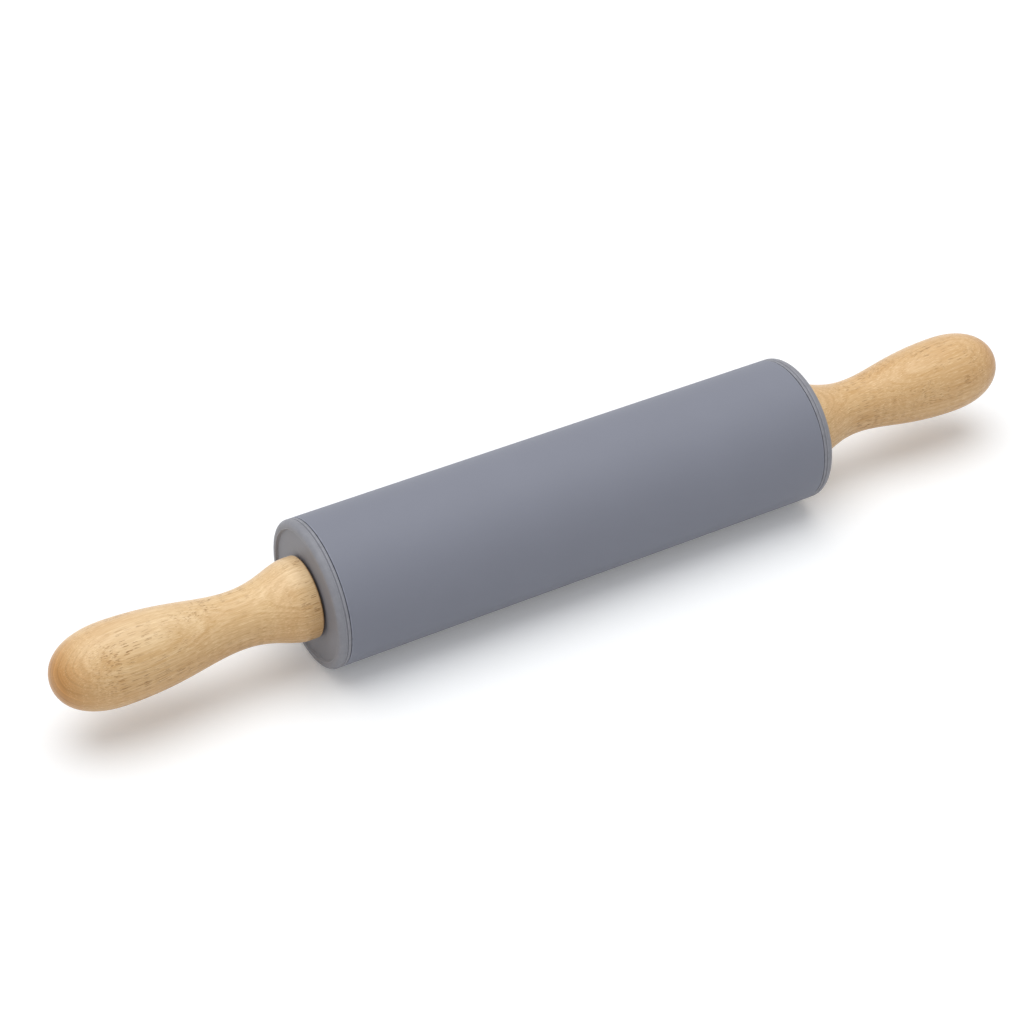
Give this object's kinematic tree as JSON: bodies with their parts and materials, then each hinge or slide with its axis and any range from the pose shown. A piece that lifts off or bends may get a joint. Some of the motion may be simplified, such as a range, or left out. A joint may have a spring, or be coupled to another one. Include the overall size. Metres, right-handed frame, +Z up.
{
  "type": "rolling pin",
  "caption": "Rolling pin with a silicone-covered barrel that turns freely on a through axle between turned wooden handles, for rolling out dough.",
  "frame": {"origin": "on the worktop under the middle of the barrel, where the barrel's lowest line rests", "axes": "+X along the axle towards the right handle, +Z up"},
  "size_m": [0.43, 0.06, 0.06],
  "materials": {
    "silicone": "matte blue-grey silicone",
    "cap_plastic": "satin grey moulded plastic",
    "tube_plastic": "plain extruded plastic",
    "nylon": "natural nylon",
    "steel": "drawn bright steel",
    "brass": "turned brass",
    "wood": "satin lacquered light hardwood"
  },
  "bodies": {
    "roller": {"silicone_sleeve": "silicone", "core_tube": "tube_plastic", "end_cap_left": "cap_plastic", "end_cap_right": "cap_plastic", "bushing_left": "nylon", "bushing_right": "nylon"},
    "handle_set": {"axle_rod": "steel", "handle_left": "wood", "handle_right": "wood", "threaded_insert_left": "brass", "threaded_insert_right": "brass", "thrust_washer_left": "nylon", "thrust_washer_right": "nylon"}
  },
  "joints": [
    {"name": "axle_spin", "type": "hinge", "parent": "roller", "child": "handle_set", "pos_m": [0, 0, 0.03], "axis": [1, 0, 0], "continuous": true}
  ]
}
